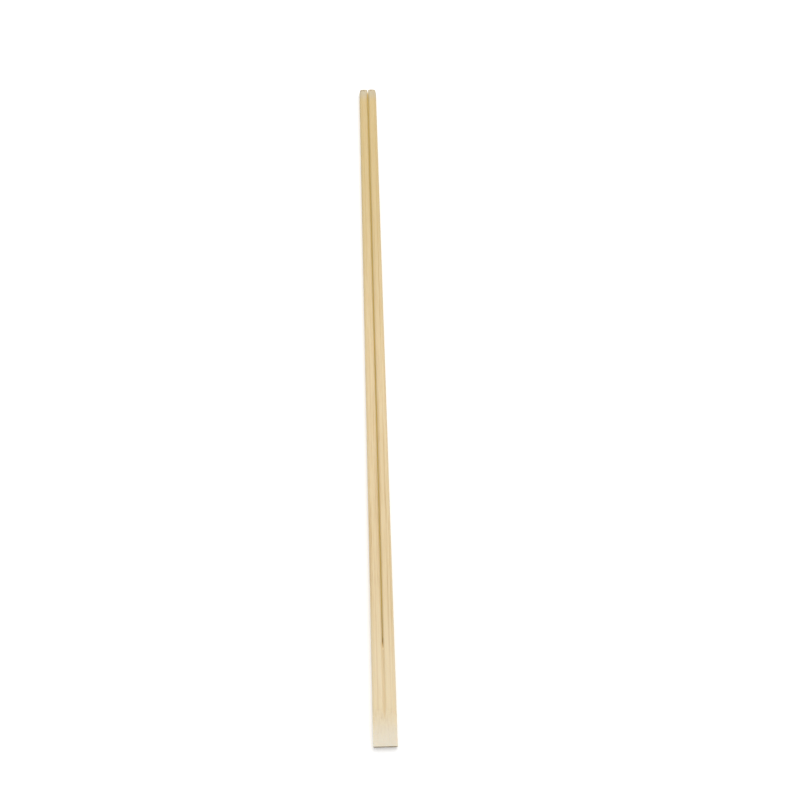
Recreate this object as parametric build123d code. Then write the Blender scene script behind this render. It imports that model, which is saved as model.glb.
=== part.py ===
from build123d import *
from math import sqrt
import os

# A pair of disposable bamboo chopsticks as it comes out of its sleeve, not yet snapped apart.
# One flat tapered blank of bamboo carries both sticks. A V groove down the middle of each face
# marks the break line, a circular saw has parted the sticks from the tips almost to the head,
# and the head is pared down by one long oblique cut across both sticks.
# Frame: the pair lies on its back at z = 0, its length along Y with the head at -Y and the tips
# at +Y, its width along X. The origin is under the middle of the pair. All sizes are millimetres.

# Blank
pair_length = 240.0
head_width = 8.4
tip_width = 6.0
head_thickness = 4.4
tip_thickness = 3.4
edge_radius = 1.1  # long outer corners, rounded by the planer

# Break line down the middle of both faces
groove_width = 1.4
groove_depth = 0.5

# Saw slot that parts the sticks, and the bridge of whole bamboo it leaves at the head
kerf_width = 0.4
bridge_length = 33.0  # from the head end to where the slot starts on the front face
saw_radius = 60.0
saw_overcut = 10.0  # how far the blade reached below the back of the pair

# Oblique cut at the head
slant_length = 12.5
slant_end_thickness = 2.4

# Eased ends of the eating tips
tip_bevel_length = 1.1  # along the stick
tip_bevel_depth = 0.4  # in from each face
tip_notch_width = 0.7  # gap between the two tips where their inner corners are eased
tip_notch_length = 1.0

overlap = 1.0  # how far a cutting shape reaches past the surface that it opens
corner_share = 0.45  # the most of a wall that a rounded corner may take on thinner sticks

head_y = -pair_length / 2
tip_y = pair_length / 2


def thickness_at(y):
    """Thickness of the blank at a place along its length, head to tip in a straight taper."""
    share = (y - head_y) / pair_length
    return head_thickness + (tip_thickness - head_thickness) * share


def make_blank():
    """Flat bar planed to its taper in width and in thickness, then eased at its edges.

    The back is one true plane, because the pair rests on it. The four long corners are rounded
    alike from head to tips, and a bevel runs round the tip end.
    """
    plan = Polyline(
        (-head_width / 2, head_y),
        (head_width / 2, head_y),
        (tip_width / 2, tip_y),
        (-tip_width / 2, tip_y),
        close=True,
    )
    side = Polyline(
        (head_y, 0),
        (tip_y, 0),
        (tip_y, tip_thickness),
        (head_y, head_thickness),
        close=True,
    )
    board = extrude(Plane.YZ * make_face(side), amount=max(head_width, tip_width), both=True)
    bar = board & extrude(make_face(plan), amount=max(head_thickness, tip_thickness))
    long_edges = bar.edges().sort_by(SortBy.LENGTH)[-4:]
    bar = fillet(long_edges, min(edge_radius, corner_share * min(tip_width, tip_thickness)))
    tip_face = bar.faces().sort_by(Axis.Y)[-1]
    return chamfer(tip_face.edges(), tip_bevel_depth, tip_bevel_length, reference=tip_face)


def make_groove(head_z, tip_z, outward):
    """Straight V groove down the middle of one face, which may slope from head to tip.

    outward is 1 for the front face and -1 for the back. The V is carried on past the face, so
    that it opens cleanly, and past both ends of the pair.
    """
    slope = (tip_z - head_z) / pair_length
    start_z = head_z - slope * overlap
    half_mouth = groove_width / 2 * (groove_depth + overlap) / groove_depth
    root_z = start_z - outward * groove_depth
    mouth_z = start_z + outward * overlap
    vee = make_face(Polyline((0, root_z), (half_mouth, mouth_z), (-half_mouth, mouth_z), close=True))
    run = Vector(0, 1, slope) * (pair_length + 2 * overlap)
    return extrude(Plane.XZ.offset(overlap - head_y) * vee, amount=run.length, dir=run)


def make_saw_slot():
    """Space swept by the circular saw, which fed in from the tips and stopped short of the head.

    The blade stood above the front face, so the slot ends in an arc of the blade and runs
    further towards the head on the front than on the back.
    """
    stop_y = head_y + bridge_length
    axle_z = saw_radius - saw_overcut
    drop = axle_z - thickness_at(stop_y)
    axle_y = stop_y + sqrt(saw_radius**2 - drop**2)
    feed = tip_y + overlap - axle_y
    swept = Pos(axle_y, axle_z) * Circle(saw_radius)
    swept += Pos(axle_y + feed / 2, axle_z) * Rectangle(feed, 2 * saw_radius)
    return extrude(Plane.YZ * swept, amount=kerf_width / 2, both=True)


def make_slant():
    """Wedge above the oblique cut, from the front face down to the thin head end."""
    start_y = head_y + slant_length
    start_z = thickness_at(start_y)
    slope = (start_z - slant_end_thickness) / slant_length
    end_z = slant_end_thickness - slope * overlap
    top_y = start_y + overlap
    wedge = make_face(
        Polyline(
            (head_y - overlap, end_z),
            (top_y, start_z + slope * overlap),
            (head_y - overlap, start_z + slope * overlap),
            close=True,
        )
    )
    return extrude(Plane.YZ * wedge, amount=head_width / 2 + overlap, both=True)


def make_tip_notch():
    """Small V in plan between the two tips, easing their inner corners."""
    length_all = tip_notch_length + overlap
    half_all = tip_notch_width / 2 * length_all / tip_notch_length
    root_y = tip_y - tip_notch_length
    mouth_y = tip_y + overlap
    vee = make_face(Polyline((0, root_y), (half_all, mouth_y), (-half_all, mouth_y), close=True))
    return extrude(Pos(0, 0, -overlap) * vee, amount=tip_thickness + 2 * overlap)


def make_pair():
    front_groove = make_groove(head_thickness, tip_thickness, 1)
    back_groove = make_groove(0, 0, -1)
    pair = make_blank() - front_groove - back_groove
    pair -= make_saw_slot()
    pair -= make_slant()
    pair -= make_tip_notch()
    return pair


chopstick_pair = make_pair()

os.makedirs("parts", exist_ok=True)
export_step(chopstick_pair, "parts/chopstick_pair.step")

box = chopstick_pair.bounding_box()
print("chopstick_pair", len(chopstick_pair.solids()), "solid,", round(chopstick_pair.volume), "mm3")
print("box", box.min, box.max)
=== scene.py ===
# %% [markdown]
# A pair of disposable bamboo chopsticks, as it comes out of its paper sleeve. It is one flat,
# tapered blank of bamboo: a saw has parted the two sticks from the eating tips almost to the head,
# a V groove marks the break line, and one long oblique cut pares the head thin.
#
# The solid model already has the pair's sizes. It could simply be given a material, but it has too
# few faces to press a grain into. So the pair is made afresh over the solid, in the same place and
# to the same sizes, with a fine mesh and with one finish for each tool that made it.

# %% Load the solid model as a fixed frame
import math

import bmesh
import bpy
from mathutils import Matrix, Vector


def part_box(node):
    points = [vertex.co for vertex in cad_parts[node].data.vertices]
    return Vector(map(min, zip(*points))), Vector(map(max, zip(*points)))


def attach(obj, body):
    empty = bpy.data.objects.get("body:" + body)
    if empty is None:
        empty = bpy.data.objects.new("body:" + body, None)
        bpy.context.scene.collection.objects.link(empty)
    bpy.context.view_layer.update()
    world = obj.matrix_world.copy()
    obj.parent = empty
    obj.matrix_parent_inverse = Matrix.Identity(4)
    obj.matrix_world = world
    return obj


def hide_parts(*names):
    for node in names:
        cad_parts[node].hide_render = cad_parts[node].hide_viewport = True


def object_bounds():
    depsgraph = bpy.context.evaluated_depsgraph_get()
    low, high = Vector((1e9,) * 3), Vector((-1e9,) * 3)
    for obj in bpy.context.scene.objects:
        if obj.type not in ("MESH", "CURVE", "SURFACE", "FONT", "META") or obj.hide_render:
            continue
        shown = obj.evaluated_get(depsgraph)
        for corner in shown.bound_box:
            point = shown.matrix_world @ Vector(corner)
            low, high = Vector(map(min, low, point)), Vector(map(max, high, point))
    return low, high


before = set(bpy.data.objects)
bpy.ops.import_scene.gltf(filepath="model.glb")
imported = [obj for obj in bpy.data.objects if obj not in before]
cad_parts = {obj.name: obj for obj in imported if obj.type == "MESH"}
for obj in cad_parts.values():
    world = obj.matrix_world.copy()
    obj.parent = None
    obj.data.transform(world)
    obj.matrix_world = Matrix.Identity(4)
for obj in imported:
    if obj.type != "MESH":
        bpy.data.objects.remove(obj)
cad_low, cad_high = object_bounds()
print("solid model from", cad_low[:], "to", cad_high[:])

# %% [markdown]
# Every step below needs sizes. They could be typed in wherever they are used, but then one change
# would have to be made in many places. So they get one list, in metres, as Blender wants them. The
# length and the width at the head are measured on the solid model. The others repeat the sizes
# that the solid was cut to, so that the dressed pair fits over it.

# %% Sizes of the pair
MM = 0.001
low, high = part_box("chopstick_pair")
SIZES = {
    "Length": high.y - low.y,
    "Head width": high.x - low.x,
    "Tip width": 6.0 * MM,
    "Head thickness": 4.4 * MM,
    "Tip thickness": 3.4 * MM,
    "Corner radius": 1.1 * MM,
    "Groove width": 1.4 * MM,
    "Groove depth": 0.5 * MM,
    "Shoulder radius": 0.35 * MM,
    "Slot width": 0.4 * MM,
    "Bridge length": 33 * MM,
    "Saw radius": 60 * MM,
    "Saw overcut": 10 * MM,
    "Cut length": 12.5 * MM,
    "Cut end thickness": 2.4 * MM,
    "Tip easing length": 1.6 * MM,
    "Tip easing depth": 0.32 * MM,
}
for name, value in SIZES.items():
    print(f"{name}: {value / MM:.2f} mm")

# %% [markdown]
# Both the shape and the finishes below are node trees. A tree is mostly arithmetic, and arithmetic
# is hard to read as dozens of Math nodes placed one by one. So a small helper stands for one value
# inside a tree and lets a formula be written as a formula. Each sign in it becomes one Math node.

# %% A number that lives in a node tree
class Number:
    """One value in a node tree, which can be added, multiplied and compared like a number."""

    def __init__(self, tree, socket):
        self.tree = tree
        self.socket = socket

    def math(self, operation, *others):
        return work_out(self.tree, operation, self, *others)

    def __add__(self, other):
        return self.math("ADD", other)

    def __radd__(self, other):
        return self.math("ADD", other)

    def __sub__(self, other):
        return self.math("SUBTRACT", other)

    def __rsub__(self, other):
        return work_out(self.tree, "SUBTRACT", other, self)

    def __mul__(self, other):
        return self.math("MULTIPLY", other)

    def __rmul__(self, other):
        return self.math("MULTIPLY", other)

    def __truediv__(self, other):
        return self.math("DIVIDE", other)

    def least(self, other):
        return self.math("MINIMUM", other)

    def most(self, other):
        return self.math("MAXIMUM", other)

    def over(self, other):
        """1 where this value is greater than the other, and 0 elsewhere."""
        return self.math("GREATER_THAN", other)

    def under(self, other):
        """1 where this value is less than the other, and 0 elsewhere."""
        return self.math("LESS_THAN", other)

    def share(self):
        """The value held between 0 and 1."""
        return self.least(1.0).most(0.0)


print("a number knows:", ", ".join(word for word in vars(Number) if not word.startswith("_")))

# %% Place nodes and wire them
def feed(tree, socket, value):
    """Wire a value into a socket, or type it in if it is a plain number, name or colour."""
    if isinstance(value, Number):
        value = value.socket
    if isinstance(value, bpy.types.NodeSocket):
        tree.links.new(value, socket)
    else:
        socket.default_value = value


def put(tree, kind, wires=None, **settings):
    """Add one node with its settings, and feed its inputs by name."""
    node = tree.nodes.new(kind)
    for name, value in settings.items():
        setattr(node, name, value)
    for name, value in (wires or {}).items():
        feed(tree, node.inputs[name], value)
    return node


def work_out(tree, operation, *values):
    """One Math node. Its inputs all have the same name, so they are fed in order."""
    node = put(tree, "ShaderNodeMath", operation=operation)
    for socket, value in zip(node.inputs, values):
        feed(tree, socket, value)
    return Number(tree, node.outputs[0])


def try_out(what, build):
    """Build something in a tree of its own, say how many nodes it takes, and throw it away."""
    practice = bpy.data.node_groups.new("practice", "GeometryNodeTree")
    build(practice)
    print(what, "takes", len(practice.nodes), "nodes")
    bpy.data.node_groups.remove(practice)


try_out("2 + 3 * 4", lambda tree: 2.0 + work_out(tree, "MULTIPLY", 3.0, 4.0))

# %% Start a tree, and take vectors apart and together
FLOAT = "NodeSocketFloat"
GEOMETRY = "NodeSocketGeometry"
COLOR = "NodeSocketColor"
MATERIAL = "NodeSocketMaterial"


def new_tree(name, kind, inputs, outputs):
    """A node group with named sockets. Returns it, its inputs as numbers, and its output node."""
    tree = bpy.data.node_groups.new(name, kind)
    for label, (socket_type, value) in inputs.items():
        socket = tree.interface.new_socket(label, in_out="INPUT", socket_type=socket_type)
        if value is not None:
            socket.default_value = value
    for label, socket_type in outputs.items():
        tree.interface.new_socket(label, in_out="OUTPUT", socket_type=socket_type)
    entry = put(tree, "NodeGroupInput")
    given = {label: Number(tree, entry.outputs[label]) for label in inputs}
    return tree, given, put(tree, "NodeGroupOutput")


def split(tree, place):
    """The x, y and z of a vector, as numbers."""
    parts = put(tree, "ShaderNodeSeparateXYZ", {"Vector": place})
    return [Number(tree, socket) for socket in parts.outputs]


def vector(tree, x=0.0, y=0.0, z=0.0):
    return put(tree, "ShaderNodeCombineXYZ", {"X": x, "Y": y, "Z": z}).outputs[0]


try_out("taking a vector apart and together", lambda tree: vector(tree, *split(tree, (1, 2, 3))))

# %% [markdown]
# On the real thing a planer makes the blank, so its section is the same all the way along, and only
# the flats between the corners shrink towards the tips. It could be made from a cube by moving its
# points and rounding its edges. A sweep is nearer to the real work: one section, carried along a
# straight path. Geometry Nodes do the sweep, because the shape follows from a few named sizes.
#
# A sweep is only as fine as its two lines, so the first group cuts each stretch of a line into even
# steps. It is a group of its own because both lines go through it.

# %% Group that divides a line into even steps
def position(tree):
    return put(tree, "GeometryNodeInputPosition").outputs[0]


def even_steps_group():
    inputs = {"Curve": (GEOMETRY, None), "Step": (FLOAT, 0.1 * MM)}
    tree, given, result = new_tree("Even steps", "GeometryNodeTree", inputs, {"Curve": GEOMETRY})
    here = position(tree)
    index = put(tree, "GeometryNodeInputIndex").outputs[0]
    following = put(tree, "GeometryNodeOffsetPointInCurve", {"Point Index": index, "Offset": 1})
    wires = {"Index": following.outputs["Point Index"], "Value": here}
    there = put(tree, "GeometryNodeFieldAtIndex", wires, data_type="FLOAT_VECTOR").outputs[0]
    gap = put(tree, "ShaderNodeVectorMath", operation="DISTANCE")
    feed(tree, gap.inputs[0], here)
    feed(tree, gap.inputs[1], there)
    steps = (Number(tree, gap.outputs["Value"]) / given["Step"]).math("ROUND")
    cuts = (steps - 1.0).most(0.0)
    divided = put(tree, "GeometryNodeSubdivideCurve", {"Curve": given["Curve"], "Cuts": cuts})
    feed(tree, result.inputs["Curve"], divided.outputs[0])
    return tree


EVEN_STEPS = even_steps_group()
print("the group for even steps has", len(EVEN_STEPS.nodes), "nodes")

# %% Draw a line through a few points
def choose(tree, kind, options):
    """Give each point of a line its own value, by the point's place in the line."""
    node = put(tree, "GeometryNodeIndexSwitch", data_type=kind)
    while len(node.index_switch_items) < len(options):
        node.index_switch_items.new()
    feed(tree, node.inputs["Index"], put(tree, "GeometryNodeInputIndex").outputs[0])
    for place, option in enumerate(options):
        feed(tree, node.inputs[place + 1], option)
    return node.outputs[0]


def line_through(tree, points, closed):
    """A curve of straight runs through the given points."""
    line = put(tree, "GeometryNodeMeshLine", {"Count": len(points)})
    wires = {"Geometry": line.outputs[0], "Position": choose(tree, "VECTOR", points)}
    placed = put(tree, "GeometryNodeSetPosition", wires)
    curve = put(tree, "GeometryNodeMeshToCurve", {"Mesh": placed.outputs[0]})
    wires = {"Geometry": curve.outputs[0], "Cyclic": closed}
    return put(tree, "GeometryNodeSetSplineCyclic", wires).outputs[0]


V_SHAPE = [(-1, 0, 1), (0, 0, 0), (1, 0, 1)]
try_out("a V through three points", lambda tree: line_through(tree, V_SHAPE, closed=False))

# %% [markdown]
# The section is half of the pair, one stick: flat front, rounded outer corner, flat side, flat
# back, half of the V groove on both faces, and the middle plane that the saw will open. It could be
# typed in with every point of its roundings. Fillet Curve does that part instead, so that a radius
# stays one number: wide where the planer rounds the corners, small at the groove's shoulders.

# %% Section of one stick at the head
CORNER_FACETS = 12
SHOULDER_FACETS = 3


def stick_section(tree, size, step):
    half_width = size["Head width"] * 0.5
    thick = size["Head thickness"]
    groove_half = size["Groove width"] * 0.5
    slot_half = size["Slot width"] * 0.5
    depth = size["Groove depth"]
    lip_depth = depth - depth * slot_half / groove_half
    points = [
        vector(tree, 0.0, 0.0, thick * 0.5),
        vector(tree, 0.0, 0.0, thick - depth),
        vector(tree, slot_half, 0.0, thick - lip_depth),
        vector(tree, groove_half, 0.0, thick),
        vector(tree, half_width, 0.0, thick),
        vector(tree, half_width, 0.0, 0.0),
        vector(tree, groove_half, 0.0, 0.0),
        vector(tree, slot_half, 0.0, lip_depth),
        vector(tree, 0.0, 0.0, depth),
    ]
    outline = line_through(tree, points, closed=True)
    corner, shoulder = size["Corner radius"], size["Shoulder radius"]
    few, many = SHOULDER_FACETS, CORNER_FACETS
    radii = choose(tree, "FLOAT", [0.0, 0.0, 0.0, shoulder, corner, corner, shoulder, 0.0, 0.0])
    facets = choose(tree, "INT", [1, 1, 1, few, many, many, few, 1, 1])
    wires = {"Curve": outline, "Radius": radii, "Count": facets, "Limit Radius": True}
    rounded = put(tree, "GeometryNodeFilletCurve", wires, mode="POLY").outputs[0]
    wires = {"Curve": rounded, "Step": step}
    divided = put(tree, "GeometryNodeGroup", wires, node_tree=EVEN_STEPS).outputs[0]
    # Curve to Mesh wants the section lying flat, with its top towards -Y.
    wires = {"Geometry": divided, "Rotation": (math.radians(90), 0, 0)}
    return put(tree, "GeometryNodeTransform", wires).outputs[0]


try_out("the section of a stick", lambda tree: stick_section(tree, SIZES, 0.1 * MM))

# %% [markdown]
# The path runs from the head to the tips. On the real pair different things happen along it: the
# oblique cut, the bridge of whole bamboo, the slot, and the eased tips. Even steps of one size
# would do, but the cut and the tips need a finer mesh than the long plain middle, so each stretch
# has its own. The slot's start is there twice, a hair apart, so that the section can jump from
# closed to open between the two.

# %% Path along the pair
HAIR = 0.001 * MM
COARSE, FINE, FINEST = 0.8 * MM, 0.35 * MM, 0.15 * MM


def stick_path(tree, size):
    head_y = size["Length"] * -0.5
    tip_y = size["Length"] * 0.5
    slot_y = head_y + size["Bridge length"]
    stops = [
        head_y,
        head_y + size["Cut length"],
        slot_y,
        slot_y + HAIR,
        tip_y - size["Tip easing length"],
        tip_y,
    ]
    line = line_through(tree, [vector(tree, 0.0, y, 0.0) for y in stops], closed=False)
    steps = choose(tree, "FLOAT", [FINE, COARSE, COARSE, COARSE, FINEST, COARSE])
    wires = {"Curve": line, "Step": steps}
    divided = put(tree, "GeometryNodeGroup", wires, node_tree=EVEN_STEPS).outputs[0]
    return put(tree, "GeometryNodeSetCurveNormal", {"Curve": divided}, mode="Z_UP").outputs[0]


try_out("the path along the pair", lambda tree: stick_path(tree, SIZES))

# %% [markdown]
# Bamboo is straight fibres, packed in bundles, in a paler pith. The bundles stand a little under a
# millimetre apart, and each has hollow vessels in it. A flat pattern could be laid on each face,
# but it wouldn't carry on round a corner or down the cut. So the grain is a set of formulas of the
# place in space, which hardly change along the stick: across the end they give dots, along a face
# they give streaks, and on the oblique cut they give long dashes.
#
# They are written as one function that fits into any tree. The shape uses it for its relief and the
# finish for its colour, so the ridges that light catches are the streaks that the eye sees.

# %% Soft random values and soft steps
def noise(tree, place, detail=2.0, roughness=0.5):
    """Soft random values between 0 and 1, and a random colour, one cell to each unit of place."""
    wires = {"Vector": place, "Scale": 1.0, "Detail": detail, "Roughness": roughness}
    return put(tree, "ShaderNodeTexNoise", wires)


def ramp(tree, value, start, end):
    """0 before start, 1 after end, and a smooth change between them."""
    wires = {"Value": value, "From Min": start, "From Max": end}
    node = put(tree, "ShaderNodeMapRange", wires, interpolation_type="SMOOTHSTEP")
    return Number(tree, node.outputs[0])


try_out("a soft step", lambda tree: ramp(tree, 0.5, 0.0, 1.0))

# %% Bundles, and the vessels in them
GRAIN = {
    "Bundle spacing": (FLOAT, 0.75 * MM),
    "Bundle wander": (FLOAT, 0.9 * MM),
    "Fibre width": (FLOAT, 0.18 * MM),
    "Fibre length": (FLOAT, 22 * MM),
    "Seed": (FLOAT, 4.0),
}
SWAY_WIDTH, SWAY_LENGTH = 8 * MM, 70 * MM
# The rims of a bundle and of a vessel, as shares of the spacing, from outside to inside.
BUNDLE_RIM = (0.42, 0.2)
VESSEL_RIM = (0.16, 0.07)


def swayed(tree, x, y, z, given):
    """A place across and up the stalk, moved aside as its fibres slowly sway."""
    at = vector(tree, x / SWAY_WIDTH + given["Seed"], y / SWAY_LENGTH, z / SWAY_WIDTH)
    sway = split(tree, noise(tree, at).outputs["Color"])
    wander = given["Bundle wander"]
    return x + (sway[0] - 0.5) * wander, z + (sway[1] - 0.5) * wander


def bundle_dots(tree, across, upward, given):
    """Bundles and vessels as round dots in the section of the stalk."""
    spacing = given["Bundle spacing"]
    at = vector(tree, across / spacing + given["Seed"], upward / spacing)
    wires = {"Vector": at, "Scale": 1.0, "Randomness": 0.9}
    cells = put(tree, "ShaderNodeTexVoronoi", wires, voronoi_dimensions="2D")
    distance = Number(tree, cells.outputs["Distance"])
    return ramp(tree, distance, *BUNDLE_RIM), ramp(tree, distance, *VESSEL_RIM)


print("grain sizes:", {name: value for name, (kind, value) in GRAIN.items()})

# %% Fine fibres, and vessels that a face cuts open
FIBRE_CONTRAST = 2.4
DASH_FINENESS, DASH_SHORTNESS = 1.4, 3.0
DASH_RIM = (0.58, 0.7)
PATCH_WIDTH, PATCH_LENGTH, PATCH_DEPTH = 3 * MM, 45 * MM, 5 * MM
DOT_STRENGTH = 0.7
STRAY_DASHES = 0.3  # how strong the dashes stay between the bundles


def fibre_streaks(tree, across, y, upward, given):
    """Fine streaks along the stick, and thin dark dashes, which are hollow vessels cut open."""
    width, length, seed = given["Fibre width"], given["Fibre length"], given["Seed"]
    at = vector(tree, across / width, y / length + seed, upward / width)
    fibres = Number(tree, noise(tree, at, detail=3.0, roughness=0.65).outputs[0])
    fibres = ((fibres - 0.5) * FIBRE_CONTRAST + 0.5).share()
    dash_x, dash_z = across * DASH_FINENESS / width, upward * DASH_FINENESS / width
    dash_at = vector(tree, dash_x, y * DASH_SHORTNESS / length + seed, dash_z)
    return fibres, ramp(tree, noise(tree, dash_at, detail=1.0).outputs[0], *DASH_RIM)


def grain_masks(tree, place, given):
    """Bundles, vessels, fine fibres and broad patches at a place, each between 0 and 1."""
    x, y, z = split(tree, place)
    across, upward = swayed(tree, x, y, z, given)
    bundles, dots = bundle_dots(tree, across, upward, given)
    fibres, dashes = fibre_streaks(tree, across, y, upward, given)
    # Most of the open vessels are in the bundles.
    dash_strength = bundles * (1.0 - STRAY_DASHES) + STRAY_DASHES
    vessels = (dots * DOT_STRENGTH + dashes * dash_strength).share()
    patch_at = vector(tree, x / PATCH_WIDTH, y / PATCH_LENGTH, z / PATCH_DEPTH + given["Seed"])
    patches = Number(tree, noise(tree, patch_at, detail=1.0).outputs[0])
    return bundles, vessels, fibres, patches


GRAIN_VALUES = {name: value for name, (kind, value) in GRAIN.items()}
try_out("the grain", lambda tree: grain_masks(tree, (0, 0, 0), GRAIN_VALUES))

# %% [markdown]
# Now the shape itself. The sweep gives one plain stick of even section. From there the real blank
# is worked in four steps:
#
# 1. Planing: the flats shrink towards the tips, and the corners keep their radius.
# 2. Sawing: the middle plane opens by the width of the slot, up to the arc of the blade.
# 3. Easing: tumbling rounds off the end of each tip.
# 4. Paring: the knife takes away what stands above the oblique cut.
#
# Boolean cuts could do all this, but they leave slivers along every cut, and the relief needs an
# even mesh. So each step moves the points of the sweep by a formula, and no face is ever cut.

# %% Planing: the taper
def tapered(size, share, x, z):
    """Carry a point of the head's section to its place in the section further along."""
    corner, groove_half = size["Corner radius"], size["Groove width"] * 0.5
    half_width, thick = size["Head width"] * 0.5, size["Head thickness"]
    flat_x = ((x - groove_half) / (half_width - corner - groove_half)).share()
    flat_z = ((z - corner) / (thick - corner * 2.0)).share()
    narrowing = (size["Tip width"] - size["Head width"]) * 0.5 * share
    thinning = (size["Tip thickness"] - thick) * share
    return x + flat_x * narrowing, z + flat_z * thinning


narrower = SIZES["Head width"] - SIZES["Tip width"]
print("the pair narrows by", round(narrower / MM, 2), "mm from the head to the tips")

# %% Sawing: how far the round blade reaches
BLADE_AXLE = SIZES["Saw radius"] - SIZES["Saw overcut"]
SETTLE = 60 * MM  # the stretch past the slot's start in which slid lines come back to their places


def saw_reach(tree, size, slot_y, z):
    """How far towards the head the blade has cut at height z."""
    radius = size["Saw radius"]
    axle_z = radius - size["Saw overcut"]
    thinning = (size["Tip thickness"] - size["Head thickness"]) / size["Length"]
    front_z = size["Head thickness"] + thinning * size["Bridge length"]
    front_drop = axle_z - front_z
    axle_y = slot_y + work_out(tree, "SQRT", radius * radius - front_drop * front_drop)
    drop = axle_z - z
    return axle_y - work_out(tree, "SQRT", radius * radius - drop * drop)


def slid_to_blade(tree, size, head_y, start_y, z):
    """Slide the lines across the stick until one of them lies along the blade's arc."""
    slot_y = head_y + size["Bridge length"]
    cut_y = head_y + size["Cut length"]
    rising = ((start_y - cut_y) / (slot_y - cut_y)).share()
    falling = ((slot_y + SETTLE - start_y) / SETTLE).share()
    slide = saw_reach(tree, size, slot_y, z) - slot_y
    return start_y + slide * rising.least(falling)


drops = (BLADE_AXLE - SIZES["Head thickness"], BLADE_AXLE)
front_reach, back_reach = [math.sqrt(SIZES["Saw radius"] ** 2 - drop**2) for drop in drops]
print("the slot is about", round((front_reach - back_reach) / MM, 1), "mm longer on the front")

# %% Easing the tips, and the height of the oblique cut
EASING_CURVE = 1.8
# The line that a tip draws in to, as a share of the stick's width from the slot. It lies close to
# the slot, so the outer corner draws in much further than the inner one.
STILL_LINE = 0.08


def eased(size, tip_y, share, x, y, z):
    """Draw the end of a tip in, more and more. Returns x and z, and how far into the tip it is."""
    slot_half = size["Slot width"] * 0.5
    half_width = (size["Head width"] + (size["Tip width"] - size["Head width"]) * share) * 0.5
    thinning = (size["Tip thickness"] - size["Head thickness"]) * share
    half_thick = (size["Head thickness"] + thinning) * 0.5
    still_x = slot_half + (half_width - slot_half) * STILL_LINE
    into_tip = ((y - tip_y) / size["Tip easing length"] + 1.0).share()
    into_tip = into_tip.math("POWER", EASING_CURVE)
    inset = into_tip * size["Tip easing depth"]
    x = still_x + (x - still_x) * (1.0 - inset / (half_width - still_x))
    z = half_thick + (z - half_thick) * (1.0 - inset / half_thick)
    return x, z, into_tip


def cut_height(size, head_y, y):
    """How high the oblique cut lies, from the thin end of the head up to the front face."""
    cut_share = size["Cut length"] / size["Length"]
    thinning = (size["Tip thickness"] - size["Head thickness"]) * cut_share
    top = size["Head thickness"] + thinning
    steepness = (top - size["Cut end thickness"]) / size["Cut length"]
    return size["Cut end thickness"] + (y - head_y) * steepness


pared_away = SIZES["Head thickness"] - SIZES["Cut end thickness"]
print("the cut takes", round(pared_away / MM, 2), "mm off the end of the head")

# %% All four steps in their order
def worked_point(tree, size, place):
    """The finished place of a point of the sweep, the cut's height there, and its tip's share."""
    head_y, tip_y = size["Length"] * -0.5, size["Length"] * 0.5
    x, start_y, z = split(tree, place)
    y = slid_to_blade(tree, size, head_y, start_y, z)
    share = (y - head_y) / size["Length"]
    x, z = tapered(size, share, x, z)
    behind_blade = start_y.over(head_y + size["Bridge length"] + HAIR * 0.5)
    x = x.most(behind_blade * (size["Slot width"] * 0.5))
    x, z, into_tip = eased(size, tip_y, share, x, y, z)
    return x, y, z, cut_height(size, head_y, y), into_tip


try_out("working one point", lambda tree: worked_point(tree, SIZES, (0, 0, 0)))

# %% [markdown]
# On the real pair four tools leave four surfaces: the planer the long faces, the knife the oblique
# cut, the round blade the slot, and the crosscut saw both ends. Faces could be picked by hand for
# their material, but then a new size would undo the picking. So the tree marks each face by the
# tool that made it, from what the formulas know: whether it was above the cut, in the slot or at
# an end.

# %% A mark on each face for the tool that made it
PLANED, PARED, SAWN, CROSSCUT = 0.0, 1.0, 2.0, 3.0
TOOL_MARKS = {"Planed": PLANED, "Pared": PARED, "Sawn": SAWN, "Crosscut": CROSSCUT}
WORKED_BY = "worked_by"
FACES_THE_END = 0.95  # how squarely a face has to look along the stick to be an end
EASED_FROM = 0.3  # how far into the easing of a tip the open end grain starts


def store(tree, geometry, name, value, domain):
    """Keep a value under a name on every point or face, for later steps to read."""
    wires = {"Geometry": geometry, "Name": name, "Value": value}
    kept = dict(data_type="FLOAT", domain=domain)
    return put(tree, "GeometryNodeStoreNamedAttribute", wires, **kept).outputs[0]


def named(tree, name):
    node = put(tree, "GeometryNodeInputNamedAttribute", {"Name": name}, data_type="FLOAT")
    return Number(tree, node.outputs["Attribute"])


def tool_of_face(tree, size):
    """The mark of the tool that made a face."""
    place = position(tree)
    slot_y = size["Length"] * -0.5 + size["Bridge length"]
    in_slot = split(tree, place)[0].under(size["Slot width"] * 0.5 + HAIR * 5)
    in_slot = in_slot * named(tree, "along").over(slot_y + HAIR * 0.25)
    lengthways = split(tree, put(tree, "GeometryNodeInputNormal").outputs[0])[1]
    at_end = lengthways.math("ABSOLUTE").over(FACES_THE_END)
    at_end = at_end.most(named(tree, "into_tip").over(EASED_FROM))
    pared = named(tree, "above_cut").over(0.99)
    return (in_slot * SAWN).most(at_end * CROSSCUT).most(pared * PARED)


print("marks:", TOOL_MARKS)

# %% [markdown]
# Only one stick is made from end to end. The other could be made in the same way, but it would take
# a second set of nodes. Its mirror image does as well, because the real blade parts the blank down
# its middle. The two are welded along the bridge, where the real ones are one piece of bamboo.

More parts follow.
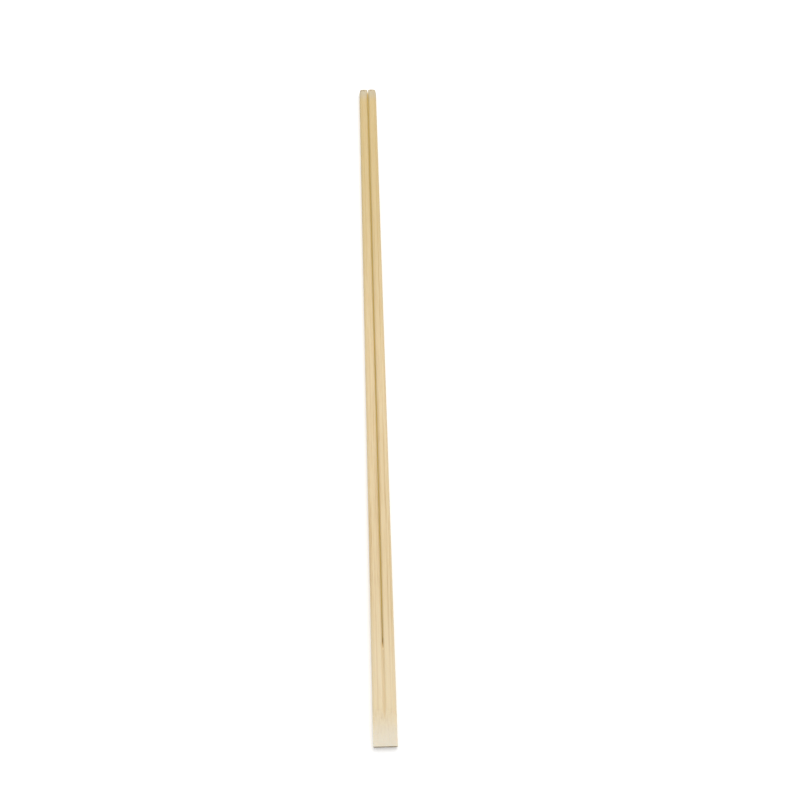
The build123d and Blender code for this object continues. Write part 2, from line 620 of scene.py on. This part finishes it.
# %% One stick
def one_stick(tree, size):
    """Sweep one stick, work it to shape, and mark its faces by the tool that made them."""
    path = stick_path(tree, size)
    section = stick_section(tree, size, size["Section step"])
    wires = {"Curve": path, "Profile Curve": section, "Fill Caps": True}
    flow = put(tree, "GeometryNodeCurveToMesh", wires).outputs[0]
    place = position(tree)
    flow = store(tree, flow, "along", split(tree, place)[1], "POINT")
    x, y, z, cut_z, into_tip = worked_point(tree, size, place)
    flow = store(tree, flow, "above_cut", z.over(cut_z), "POINT")
    flow = store(tree, flow, "into_tip", into_tip, "POINT")
    wires = {"Geometry": flow, "Position": vector(tree, x, y, z.least(cut_z))}
    flow = put(tree, "GeometryNodeSetPosition", wires).outputs[0]
    # The plane between the joined sticks is inside the bamboo, so its faces go.
    wires = {"Geometry": flow, "Selection": split(tree, place)[0].under(HAIR * 0.1)}
    flow = put(tree, "GeometryNodeDeleteGeometry", wires, domain="FACE").outputs[0]
    return store(tree, flow, WORKED_BY, tool_of_face(tree, size), "FACE")


try_out("one stick", lambda tree: one_stick(tree, SIZES | {"Section step": 0.13 * MM}))

# %% Both sticks in one piece
def both_sticks(tree, stick):
    """Add the mirror image of a stick and weld the two where they meet."""
    other = put(tree, "GeometryNodeTransform", {"Geometry": stick, "Scale": (-1, 1, 1)})
    other = put(tree, "GeometryNodeFlipFaces", {"Mesh": other.outputs[0]})
    joined = put(tree, "GeometryNodeJoinGeometry")
    tree.links.new(other.outputs[0], joined.inputs[0])
    tree.links.new(stick, joined.inputs[0])
    wires = {"Geometry": joined.outputs[0], "Distance": HAIR * 5}
    return put(tree, "GeometryNodeMergeByDistance", wires).outputs[0]


print("points closer than", HAIR * 5 / MM, "mm are welded")

# %% [markdown]
# Planed bamboo is never quite smooth. The hard bundles stand a little proud, and the soft pith
# between them sinks as it dries. Bump in the finish could fake that, but a bump has no outline and
# is lost when the mesh is used alone. So the grain is pressed into the mesh itself, a few
# hundredths of a millimetre deep and always inwards, which keeps the pair inside the solid's size.

# %% Press the grain into the surface
BUNDLE_RISE, FIBRE_RISE, PATCH_DEPTH_SHARE = 0.45, 0.9, 0.4


def pressed_grain(tree, size, flow):
    """Sink the surface by the grain: deep between the fibres, least on the bundles."""
    place = position(tree)
    bundles, vessels, fibres, patches = grain_masks(tree, place, size)
    hollow = 1.0 - bundles * BUNDLE_RISE - fibres * FIBRE_RISE + patches * PATCH_DEPTH_SHARE
    offset = put(tree, "ShaderNodeVectorMath", operation="SCALE")
    feed(tree, offset.inputs[0], put(tree, "GeometryNodeInputNormal").outputs[0])
    feed(tree, offset.inputs["Scale"], hollow.share() * size["Relief depth"] * -1.0)
    wires = {"Geometry": flow, "Offset": offset.outputs[0]}
    return put(tree, "GeometryNodeSetPosition", wires).outputs[0]


MESH_SIZES = {"Section step": 0.13 * MM, "Relief depth": 0.035 * MM}
print("the grain is pressed in by up to", MESH_SIZES["Relief depth"] / MM, "mm")

# %% Geometry Nodes tree for the whole pair
CRISP_ANGLE = math.radians(38)


def shaded(tree, flow):
    """Smooth shading, but with crisp edges where two tools' faces meet."""
    smooth = put(tree, "GeometryNodeSetShadeSmooth", {"Geometry": flow, "Shade Smooth": True})
    angle = Number(tree, put(tree, "GeometryNodeInputMeshEdgeAngle").outputs[0])
    sharp = angle.over(CRISP_ANGLE)
    wires = {"Geometry": smooth.outputs[0], "Selection": sharp, "Shade Smooth": False}
    return put(tree, "GeometryNodeSetShadeSmooth", wires, domain="EDGE").outputs[0]


def pair_tree():
    inputs = {name: (FLOAT, value) for name, value in (SIZES | MESH_SIZES).items()}
    inputs |= GRAIN
    inputs |= {name: (MATERIAL, None) for name in TOOL_MARKS}
    outputs = {"Geometry": GEOMETRY}
    tree, size, result = new_tree("Chopstick pair", "GeometryNodeTree", inputs, outputs)
    flow = both_sticks(tree, one_stick(tree, size))
    flow = shaded(tree, pressed_grain(tree, size, flow))
    flow = put(tree, "GeometryNodeRealizeInstances", {"Geometry": flow}).outputs[0]
    for label, mark in TOOL_MARKS.items():
        chosen = named(tree, WORKED_BY).over(mark - 0.5)
        wires = {"Geometry": flow, "Material": size[label], "Selection": chosen}
        flow = put(tree, "GeometryNodeSetMaterial", wires).outputs[0]
    tree.links.new(flow, result.inputs["Geometry"])
    return tree


PAIR_TREE = pair_tree()
print("the pair's tree has", len(PAIR_TREE.nodes), "nodes")

# %% [markdown]
# The finish comes next. Bare bamboo has no coat and no deep shine. It is a pale straw colour,
# darker along the bundles, fuller towards the tips and paler towards the head. Each tool's face
# could have a material of its own from the ground up. But it is one piece of bamboo, and its
# streaks have to run on from face to face. So one shader group makes the bamboo, and each material
# only sets how its tool left it.
#
# The group reads Object coordinates, which are the places that the tree above read, so the colour
# and the relief agree. It gives out a colour, a roughness and a height, and each material keeps
# its own shader.

# %% Colours as they look on screen
def tone(red, green, blue):
    """A colour given as it looks on screen, turned into the light values that a shader wants."""
    linear = [
        value / 12.92 if value <= 0.04045 else ((value + 0.055) / 1.055) ** 2.4
        for value in (red / 255, green / 255, blue / 255)
    ]
    return (*linear, 1.0)


def blend(tree, share, first, second, way="MIX"):
    """Mix two colours. A Mix node has several inputs A and B, and 6 and 7 are the colours."""
    node = put(tree, "ShaderNodeMix", data_type="RGBA", blend_type=way)
    feed(tree, node.inputs["Factor"], share)
    feed(tree, node.inputs[6], first)
    feed(tree, node.inputs[7], second)
    return node.outputs[2]


print("mid grey on screen is", round(tone(128, 128, 128)[0], 3), "in a shader")

# %% The colour of the grain, and how it changes along the stick
HEAD_END, TIP_END = low.y, high.y
SLOT_END = HEAD_END + SIZES["Bridge length"]
FULLER_TOWARDS_TIPS = (0.0, TIP_END - 20 * MM)
PALES = (HEAD_END + 70 * MM, HEAD_END + 15 * MM)
DRIES = (HEAD_END + 13 * MM, HEAD_END + MM)
GREYS = (TIP_END - 5 * MM, TIP_END - MM)
SHADES_HEAD_END = (HEAD_END + 2 * MM, HEAD_END + 0.5 * MM)
TIP_TONE, PALE, GROOVE_SHADE = tone(199, 174, 112), tone(236, 222, 192), tone(196, 164, 104)
DRY, GREY, HEAD_END_SHADE = tone(233, 226, 210), tone(192, 189, 177), tone(200, 196, 190)
PALENESS = 0.42
# How dark every bundle is, how much darker a patch can make it, and the same sort of values for
# the fibres and the vessels.
BUNDLE_LEAST, BUNDLE_RANGE = 0.2, 0.7
FIBRE_MIDDLE, FIBRE_RANGE = 0.42, 1.1
VESSEL_STRENGTH = 0.7


def grain_color(tree, given, bundles, vessels, fibres, patches):
    """Pith, bundles of differing depth, and the browner vessels in them."""
    bundle_depth = bundles * (patches * BUNDLE_RANGE + BUNDLE_LEAST)
    depth = bundle_depth + (fibres - FIBRE_MIDDLE) * FIBRE_RANGE
    share = (depth * given["Streaks"]).share()
    color = blend(tree, share, given["Pith"], given["Bundle"])
    return blend(tree, vessels * given["Streaks"] * VESSEL_STRENGTH, color, given["Vessel"])


def aged_color(tree, given, x, y, color):
    """Tones along the stick, drying, and painted shade in the groove and on the head's end."""
    # Darker and yellower towards the tips, and paler towards the head.
    color = blend(tree, ramp(tree, y, *FULLER_TOWARDS_TIPS) * given["Tip fullness"], color, TIP_TONE)
    color = blend(tree, ramp(tree, y, *PALES) * PALENESS, color, PALE)
    # The groove's walls are painted browner: painted shade in the V groove.
    groove_half = SIZES["Groove width"] / 2
    inside = ramp(tree, x.math("ABSOLUTE"), groove_half + 0.1 * MM, groove_half / 2)
    color = blend(tree, inside * given["Groove"], color, GROOVE_SHADE)
    # Towards the thin end of the oblique cut more and more dry pith lies open.
    color = blend(tree, ramp(tree, y, *DRIES) * given["Dryness"], color, DRY)
    # The last few millimetres of the tips are greyer, and the head's end face gets painted shade.
    color = blend(tree, ramp(tree, y, *GREYS) * given["Tip greyness"], color, GREY)
    painted_end_shade = ramp(tree, y, *SHADES_HEAD_END) * given["Head end shade"]
    return blend(tree, painted_end_shade, color, HEAD_END_SHADE, way="MULTIPLY")


print("the tips are grey from y =", round(GREYS[0] / MM, 1), "mm")

# %% Shader group: the colour, roughness and height of bamboo
TOOTH_PITCH = 0.8 * MM
TOOTH_SHADE = 0.25
# Open fibres are rougher, and the hard bundles are a little smoother than the rest.
BARE_ROUGHNESS, FIBRE_ROUGHNESS, OPEN_ROUGHNESS, BUNDLE_SMOOTHNESS = 0.5, 0.25, 0.35, 0.08
CLOSED_HEIGHT = 0.25  # how high fibres stand where the tool has left them closed
# Light gets to the deep end of the slot only after more bounces than a render follows. A paler
# floor is only a rough stand-in for them.
DEEP = (3.2 * MM, 1.6 * MM)
NEAR_SLOT_END = (SLOT_END + 11 * MM, SLOT_END + 7 * MM)
SLOT_FLOOR = tone(255, 234, 180)


def saw_teeth(tree, y, z):
    """Ripples that the teeth of a round blade leave, in arcs with the blade's own radius."""
    drop = BLADE_AXLE - z
    arc = y + (SIZES["Saw radius"] ** 2 - drop * drop).math("SQRT")
    return (arc * (math.tau / TOOTH_PITCH)).math("SINE") * 0.5 + 0.5


def bamboo_group():
    inputs = GRAIN | {
        "Pith": (COLOR, tone(225, 204, 162)),
        "Bundle": (COLOR, tone(198, 165, 108)),
        "Vessel": (COLOR, tone(176, 134, 78)),
        "Streaks": (FLOAT, 0.55),
        "Openness": (FLOAT, 0.2),
        "Saw marks": (FLOAT, 0.0),
        "Tip fullness": (FLOAT, 0.55),
        "Dryness": (FLOAT, 0.0),
        # How much painted shade the V groove gets.
        "Groove": (FLOAT, 0.0),
        # Painted shade on the head's end face.
        "Head end shade": (FLOAT, 0.0),
        "Tip greyness": (FLOAT, 0.5),
    }
    outputs = {"Color": COLOR, "Roughness": FLOAT, "Height": FLOAT}
    tree, given, result = new_tree("Bamboo", "ShaderNodeTree", inputs, outputs)
    place = put(tree, "ShaderNodeTexCoord").outputs["Object"]
    bundles, vessels, fibres, patches = grain_masks(tree, place, given)
    x, y, z = split(tree, place)
    color = grain_color(tree, given, bundles, vessels, fibres, patches)
    color = aged_color(tree, given, x, y, color)
    teeth = saw_teeth(tree, y, z) * given["Saw marks"]
    color = blend(tree, teeth * TOOTH_SHADE, color, given["Bundle"])
    deep = ramp(tree, z, *DEEP) * ramp(tree, y, *NEAR_SLOT_END)
    color = blend(tree, deep * given["Saw marks"], color, SLOT_FLOOR)
    openness = given["Openness"]
    rough = (fibres - 0.5) * FIBRE_ROUGHNESS + openness * OPEN_ROUGHNESS
    rough = rough - bundles * BUNDLE_SMOOTHNESS + BARE_ROUGHNESS
    height = fibres * (openness + CLOSED_HEIGHT) - bundles * openness + teeth
    feed(tree, result.inputs["Color"], color)
    feed(tree, result.inputs["Roughness"], rough)
    feed(tree, result.inputs["Height"], height)
    return tree


BAMBOO = bamboo_group()
print("the bamboo group has", len(BAMBOO.nodes), "nodes")

# %% [markdown]
# Planed faces cover most of the pair. They are closed and smooth, with the bundles as thin darker
# streaks, and a little light sinks into them before it comes out again. That could be left out, but
# bamboo without it looks like painted card. So every finish has some subsurface light, and the
# plain values that don't change over the surface are set on the shader itself.

# %% Planed bamboo
LIGHT_PATHS = (1.0, 0.85, 0.6)  # how far red, green and blue light get, against the glow's depth
BARE_SHINE = 0.4
BAMBOO_IOR = 1.5


def bamboo(name, relief, values, glow=0.3, glow_depth=1 * MM, glow_way="RANDOM_WALK"):
    """A finish of bamboo. values sets inputs of the group, and relief is the bump's height."""
    material = bpy.data.materials.new(name)
    material.use_nodes = True
    tree = material.node_tree
    shader = tree.nodes["Principled BSDF"]
    group = put(tree, "ShaderNodeGroup", values, node_tree=BAMBOO)
    bumped = put(tree, "ShaderNodeBump", {"Height": group.outputs["Height"], "Distance": relief})
    feed(tree, shader.inputs["Base Color"], group.outputs["Color"])
    feed(tree, shader.inputs["Roughness"], group.outputs["Roughness"])
    feed(tree, shader.inputs["Normal"], bumped.outputs[0])
    shader.subsurface_method = glow_way
    shader.inputs["Specular IOR Level"].default_value = BARE_SHINE
    shader.inputs["Subsurface Weight"].default_value = glow
    shader.inputs["Subsurface Scale"].default_value = glow_depth
    shader.inputs["Subsurface Radius"].default_value = LIGHT_PATHS
    shader.inputs["IOR"].default_value = BAMBOO_IOR
    return material


# Groove sets how much painted shade the V groove gets.
FINISHES = {"Planed": bamboo("planed_bamboo", 0.04 * MM, {"Groove": 0.12})}
print("made", FINISHES["Planed"].name)

# %% [markdown]
# The oblique cut is pared with a knife, at a shallow angle to the fibres. It leaves the pith open
# and clean, so the cut is paler and duller than the planed faces, and palest at its thin end, where
# it has dried most. One plain lighter colour could do, but it would hide the grain, so only the
# group's own values change.

# %% Pared bamboo
PARED_VALUES = {
    "Pith": tone(232, 212, 172),
    "Bundle": tone(205, 174, 120),
    "Openness": 0.6,
    "Dryness": 0.75,
}
FINISHES["Pared"] = bamboo("pared_bamboo", 0.04 * MM, PARED_VALUES)
print("made", FINISHES["Pared"].name)

# %% [markdown]
# Inside the slot the round blade has torn the fibres and left the arcs of its teeth. The slot is so
# narrow that hardly any light gets in from above, and what is seen there has come through the
# bamboo, so the real slot looks golden and not black. A lamp inside the slot could light it, but
# that would look wrong from the side. So this finish has the palest colour and lets the most light
# through. Of Blender's ways to work out light under a surface it has the simplest one, which
# gathers light from nearby and so stays bright in a deep and narrow place.

# %% Sawn bamboo
SAWN_VALUES = {
    "Pith": tone(248, 232, 192),
    "Bundle": tone(226, 196, 142),
    "Vessel": tone(206, 168, 112),
    "Streaks": 0.6,
    "Openness": 0.9,
    "Saw marks": 1.0,
}
SAWN_GLOW = dict(glow=0.6, glow_depth=4 * MM, glow_way="BURLEY")
FINISHES["Sawn"] = bamboo("sawn_bamboo", 0.05 * MM, SAWN_VALUES, **SAWN_GLOW)
print("made", FINISHES["Sawn"].name)

# %% [markdown]
# Both ends are cut straight across the fibres. There the bundles show as dark dots in the pith, and
# the hollow vessels are darker still. The head's end face also gets painted shade, since it is
# turned away from the lamp. The dots could be modelled as holes, but the vessels are only a tenth
# of a millimetre wide. The grain's formulas already put them where the streaks of the faces end, so
# for the dots this finish only needs more contrast.

# %% Crosscut bamboo
CROSSCUT_VALUES = {
    "Pith": tone(212, 196, 160),
    "Bundle": tone(146, 112, 70),
    "Vessel": tone(104, 76, 46),
    "Streaks": 1.0,
    "Openness": 0.9,
    "Tip fullness": 0.0,
    # Painted shade on the head's end face.
    "Head end shade": 1.0,
    "Tip greyness": 0.15,
}
FINISHES["Crosscut"] = bamboo("crosscut_bamboo", 0.05 * MM, CROSSCUT_VALUES)
print("finishes:", ", ".join(material.name for material in FINISHES.values()))

# %% [markdown]
# The tree is ready to run. It could stay on the object as a live modifier, so that its sizes could
# still be turned like knobs. But the pair is used elsewhere as a plain mesh, and only a plain mesh
# can be measured. So the tree runs once, on an empty mesh, and its result is kept.

# %% Run the tree and keep its result as a plain mesh
def add_object(name, data):
    """A new object, put into the scene."""
    thing = bpy.data.objects.new(name, data)
    bpy.context.scene.collection.objects.link(thing)
    return thing


def run_tree(tree, values, name):
    source = add_object(name, bpy.data.meshes.new(name))
    modifier = source.modifiers.new("Shape", "NODES")
    modifier.node_group = tree
    for item in tree.interface.items_tree:
        if item.item_type == "SOCKET" and item.in_out == "INPUT" and item.name in values:
            modifier[item.identifier] = values[item.name]
    graph = bpy.context.evaluated_depsgraph_get()
    mesh = bpy.data.meshes.new_from_object(source.evaluated_get(graph), depsgraph=graph)
    source.modifiers.remove(modifier)
    source.data = mesh
    return source


pair = run_tree(PAIR_TREE, SIZES | MESH_SIZES | FINISHES, "twin_sticks")
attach(pair, "root")
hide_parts("chopstick_pair")
print(pair.name, "has", len(pair.data.polygons), "faces in", len(pair.data.materials), "finishes")

# %% [markdown]
# A chopstick has no holes in its skin and nothing loose. A mesh can look whole and still be open or
# inside out, and that could be checked by eye, edge by edge. Counting is surer: every edge has two
# faces, and the volume comes out positive and near the solid's six cubic centimetres.

# %% Measure the mesh
def report_mesh(piece):
    checked = bmesh.new()
    checked.from_mesh(piece.data)
    open_edges = sum(len(edge.link_faces) != 2 for edge in checked.edges)
    triangles = sum(len(face.verts) - 2 for face in checked.faces)
    print(piece.name, triangles, "triangles,", open_edges, "open edges")
    print("volume:", round(checked.calc_volume(signed=True) / MM**3), "cubic mm")
    places = [vertex.co for vertex in checked.verts]
    for axis, label in enumerate("XYZ"):
        values = [place[axis] / MM for place in places]
        print(f"{label} from {min(values):.3f} to {max(values):.3f} mm")
    checked.free()


report_mesh(pair)

# %% [markdown]
# The pair lies on a white table. A white sheet lit brightly enough to come out white would also
# flood the pair with light and wash its colour out. So the table is a wide plane of near-white
# paper at a plain level, and the rest of its whiteness is a glow that only the camera and
# reflections see. The glow lights nothing, so the contact shadow stays.
#
# Under the pair the table takes the warm tone of light that has come through the bamboo, a little
# less of it where the slot comes to its end. That is a stand-in for many bounces of light, and it
# shows only through the slot.

# %% The colour of the table
WHITE_PAPER, WARM_PAPER = tone(247, 247, 247), tone(208, 178, 122)
WARM_GLOW = (0.36, 0.26, 0.07, 1.0)
DIM_GLOW = (0.30, 0.22, 0.08, 1.0)
NEAR_GLOW, FAR_GLOW = 0.18, 0.25  # the far table is out of the lamp's reach, so it glows more
LAMP_REACH = (0.4, 1.6)


def seen_directly(tree):
    """1 for what the camera sees, also in reflections and through glass, and 0 for lighting."""
    rays = put(tree, "ShaderNodeLightPath")
    seen = Number(tree, rays.outputs["Is Camera Ray"])
    return seen.most(rays.outputs["Is Glossy Ray"]).most(rays.outputs["Is Transmission Ray"])


def table_colors(tree):
    """The paper's colour and the glow's colour, white beside the pair and warm under it."""
    x, y, z = split(tree, put(tree, "ShaderNodeTexCoord").outputs["Object"])
    beside = ramp(tree, x.math("ABSOLUTE"), MM, 3 * MM)
    past_tips = ramp(tree, y, TIP_END - MM, TIP_END + MM)
    past_head = ramp(tree, y, HEAD_END + 4 * MM, HEAD_END + MM)
    clear = beside.most(past_tips).most(past_head)
    open_slot = ramp(tree, y, SLOT_END + 5 * MM, SLOT_END + 22 * MM)
    warm = blend(tree, open_slot, DIM_GLOW, WARM_GLOW)
    away = (x * x + y * y).math("SQRT")
    white = ramp(tree, away, *LAMP_REACH) * FAR_GLOW + NEAR_GLOW
    glow = blend(tree, clear, warm, vector(tree, white, white, white))
    return blend(tree, clear, WARM_PAPER, WHITE_PAPER), glow


print("the table glows by", NEAR_GLOW, "beside the pair and by up to", FAR_GLOW, "more far off")

# %% The table
TABLE_HALF = 3.0


def table_material():
    material = bpy.data.materials.new("white_table")
    material.use_nodes = True
    tree = material.node_tree
    tree.nodes.remove(tree.nodes["Principled BSDF"])
    paper_color, glow_color = table_colors(tree)
    paper = put(tree, "ShaderNodeBsdfDiffuse", {"Color": paper_color})
    wires = {"Color": glow_color, "Strength": seen_directly(tree)}
    glow = put(tree, "ShaderNodeEmission", wires)
    both = put(tree, "ShaderNodeAddShader")
    tree.links.new(paper.outputs[0], both.inputs[0])
    tree.links.new(glow.outputs[0], both.inputs[1])
    tree.links.new(both.outputs[0], tree.nodes["Material Output"].inputs["Surface"])
    return material


turns = [(-1, -1), (1, -1), (1, 1), (-1, 1)]
corners = [(x * TABLE_HALF, y * TABLE_HALF, 0.0) for x, y in turns]
table_mesh = bpy.data.meshes.new("table")
table_mesh.from_pydata(corners, [], [(0, 1, 2, 3)])
table_mesh.materials.append(table_material())
table = add_object("table", table_mesh)
print("table is", 2 * TABLE_HALF, "m wide")

# %% [markdown]
# The photograph has soft light from all round, a little stronger from above and behind the tips and
# slightly from the right. Three lamps could give that, each with its own shadow. An even white sky
# gives the soft part with no shadow edges at all, and one wide lamp gives the rest. Together they
# stay at a plain level, at which a colour comes out about as it is written.

# %% Sky and lamp
SKY = 0.62
LAMP_PLACE = Vector((0.13, 0.36, 1.01))


def turned_along(direction):
    """The turn that points a lamp or a camera along a direction."""
    return direction.to_track_quat("-Z", "Y").to_matrix().to_4x4()


bpy.context.scene.view_settings.view_transform = "Standard"
world = bpy.data.worlds.new("studio")
bpy.context.scene.world = world
world.use_nodes = True
sky = world.node_tree.nodes["Background"]
sky.inputs["Color"].default_value = (1, 1, 1, 1)
seen = seen_directly(world.node_tree)
feed(world.node_tree, sky.inputs["Strength"], seen * (1.0 - SKY) + SKY)

lamp_data = bpy.data.lights.new("wide_lamp", "AREA")
lamp_data.shape = "DISK"
lamp_data.size = 0.9
lamp_data.energy = 6.4
lamp = add_object("wide_lamp", lamp_data)
lamp.matrix_world = Matrix.Translation(LAMP_PLACE) @ turned_along(-LAMP_PLACE)
print("lamp", round(LAMP_PLACE.length, 2), "m from the pair")

# %% [markdown]
# The photograph looks steeply down on the pair from beyond its head. The camera could be pushed
# about by hand until the picture fits. Here it is found instead from two marks in the photograph,
# the middle of the head end and the middle of the two tips. It starts from an estimated height and
# distance, and turns, slides and zooms bit by bit until both ends land on the marks.

# %% A camera that can be aimed
FRAME = 800
HEAD_MARK = Vector((385.5, 746.9))
TIP_MARK = Vector((367.6, 91.0))
ELEVATION = math.radians(74)
DISTANCE = 1.04

camera_data = bpy.data.cameras.new("camera")
camera = add_object("camera", camera_data)
bpy.context.scene.camera = camera


def aim(azimuth, target, lens):
    """Look down at a target from the head's side, turned by azimuth."""
    flat = math.cos(ELEVATION)
    away = Vector((math.sin(azimuth) * flat, -math.cos(azimuth) * flat, math.sin(ELEVATION)))
    camera.matrix_world = Matrix.Translation(target + away * DISTANCE) @ turned_along(-away)
    camera_data.lens = lens


def on_frame(point, lens):
    """Where a point lands in the picture, in pixels from its top left corner."""
    seen_from = camera.matrix_world.inverted() @ point
    scale = lens / camera_data.sensor_width * FRAME / -seen_from.z
    return Vector((FRAME / 2 + seen_from.x * scale, FRAME / 2 - seen_from.y * scale))


print("the pair spans", round((TIP_MARK - HEAD_MARK).length, 1), "pixels")

# %% Bring both ends onto their marks
ROUNDS = 12
head_end = Vector((0, cad_low.y, SIZES["Cut end thickness"] / 2))
tips_end = Vector((0, cad_high.y, SIZES["Tip thickness"] / 2))
azimuth, target, lens = 0.0, Vector((0, 0, 0)), 120.0
for turn in range(ROUNDS):
    aim(azimuth, target, lens)
    head_at, tips_at = on_frame(head_end, lens), on_frame(tips_end, lens)
    shown, wanted = tips_at - head_at, TIP_MARK - HEAD_MARK
    lens *= wanted.length / shown.length
    azimuth += math.atan2(wanted.x, -wanted.y) - math.atan2(shown.x, -shown.y)
    slip = (HEAD_MARK + TIP_MARK - head_at - tips_at) / 2
    pixels_per_metre = shown.length / SIZES["Length"]
    target += Vector((-slip.x, slip.y, 0)) / pixels_per_metre
aim(azimuth, target, lens)
print("head at", on_frame(head_end, lens)[:], "tips at", on_frame(tips_end, lens)[:])
print("lens", round(lens, 1), "mm, turned", round(math.degrees(azimuth), 2), "degrees")

# %% [markdown]
# The dressed pair has to be as large as the solid one, or it would no longer fit where the solid
# does. Half a millimetre hardly shows in the picture, so the extents of both are printed above.
